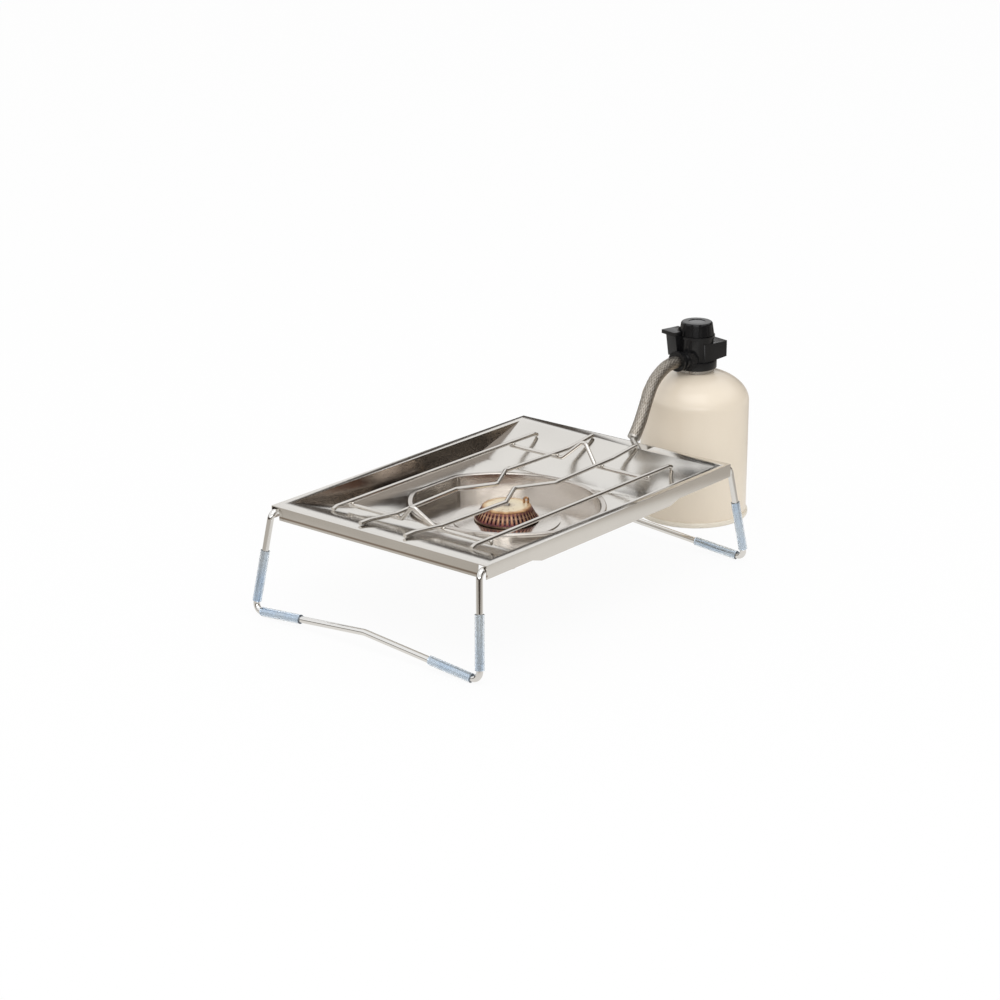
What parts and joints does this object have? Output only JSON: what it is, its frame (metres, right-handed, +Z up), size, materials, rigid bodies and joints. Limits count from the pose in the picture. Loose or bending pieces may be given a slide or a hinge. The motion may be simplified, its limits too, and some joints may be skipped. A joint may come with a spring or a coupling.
{
  "type": "folding gas camping stove",
  "caption": "Folding camping stove: a steel tray on wire legs with a sunken slotted burner and a wire grate, fed by a short braided hose from a valve on a screw-on gas canister.",
  "frame": {"origin": "middle of the object's outline seen from above, on the ground it stands on", "axes": "+X along the tray's long side, from the tray to the canister; +Y across the tray, away from the valve's hose side; +Z up"},
  "size_m": [0.5453, 0.2698, 0.1975],
  "materials": {
    "tray_steel": "satin stainless sheet",
    "bright_wire": "polished",
    "clear_sleeve": "clear, slightly blue",
    "burner_casting": "cast, dull",
    "tinted_cap": "brown heat tint",
    "cap_disc": "pale, satin",
    "plain_steel": "plain",
    "brass_fittings": "plain",
    "braid": "braided wire",
    "black_plastic": "satin black",
    "grey_plastic": "satin grey",
    "cream_paint": "satin cream",
    "seal_rubber": "plain"
  },
  "bodies": {
    "stove": {"air_shutter": "burner_casting", "burner_basin": "tray_steel", "burner_body": "burner_casting", "burner_cap_top": "cap_disc", "burner_gauze": "plain_steel", "burner_lock_ring": "tray_steel", "burner_ring": "plain_steel", "cap_clip": "tinted_cap", "cap_screw": "plain_steel", "far_hinge_brackets": "tray_steel", "flame_cap": "tinted_cap", "gas_hose": "braid", "gas_jet": "brass_fittings", "gas_pipe": "brass_fittings", "hose_collar": "black_plastic", "hose_elbow": "plain_steel", "hose_end_cap": "plain_steel", "jet_holder": "burner_casting", "near_hinge_brackets": "tray_steel", "pipe_nut_elbow": "brass_fittings", "pipe_nut_jet": "brass_fittings", "pipe_strap": "tray_steel", "pressure_chamber_cap": "black_plastic", "pressure_diaphragm": "seal_rubber", "pressure_spring": "plain_steel", "probe_pin": "brass_fittings", "seal_washer": "seal_rubber", "thread_insert": "brass_fittings", "top_plate": "tray_steel", "valve_body": "black_plastic", "valve_front_plug": "black_plastic"},
    "near_leg": {"near_leg_wire": "bright_wire", "near_leg_post_sleeves": "clear_sleeve", "near_leg_foot_sleeves": "clear_sleeve"},
    "far_leg": {"far_leg_wire": "bright_wire", "far_leg_post_sleeves": "clear_sleeve", "far_leg_foot_sleeves": "clear_sleeve"},
    "grate": {"grate_cross_wire_far": "bright_wire", "grate_cross_wire_near": "bright_wire", "grate_inner_wire_left": "bright_wire", "grate_inner_wire_right": "bright_wire", "grate_outer_wire_left": "bright_wire", "grate_outer_wire_right": "bright_wire"},
    "knob": {"control_knob": "black_plastic", "knob_disc": "grey_plastic", "valve_spindle": "brass_fittings"},
    "canister": {"canister_shell": "cream_paint", "canister_base_seam": "cream_paint", "canister_valve_cup": "plain_steel", "canister_stub": "plain_steel", "canister_stem": "brass_fittings"}
  },
  "joints": [
    {"name": "near_leg_fold", "type": "hinge", "parent": "stove", "child": "near_leg", "pos_m": [-0.22095, 0, 0.0918], "axis": [0, -1, 0], "range_deg": [0, 97.5]},
    {"name": "far_leg_fold", "type": "hinge", "parent": "stove", "child": "far_leg", "pos_m": [0.07905, 0, 0.0918], "axis": [0, 1, 0], "range_deg": [0, 97.5]},
    {"name": "grate_lift", "type": "slide", "parent": "stove", "child": "grate", "axis": [-0.6, 0, 0.8], "range_m": [0, 0.08]},
    {"name": "knob_turn", "type": "hinge", "parent": "stove", "child": "knob", "pos_m": [0.21735, -0.007, 0.19], "axis": [0, 0, 1], "range_deg": [0, 540]},
    {"name": "canister_unscrew", "type": "hinge", "parent": "stove", "child": "canister", "pos_m": [0.21735, -0.007, 0.1], "axis": [0, 0, -1], "range_deg": [0, 2160]}
  ]
}
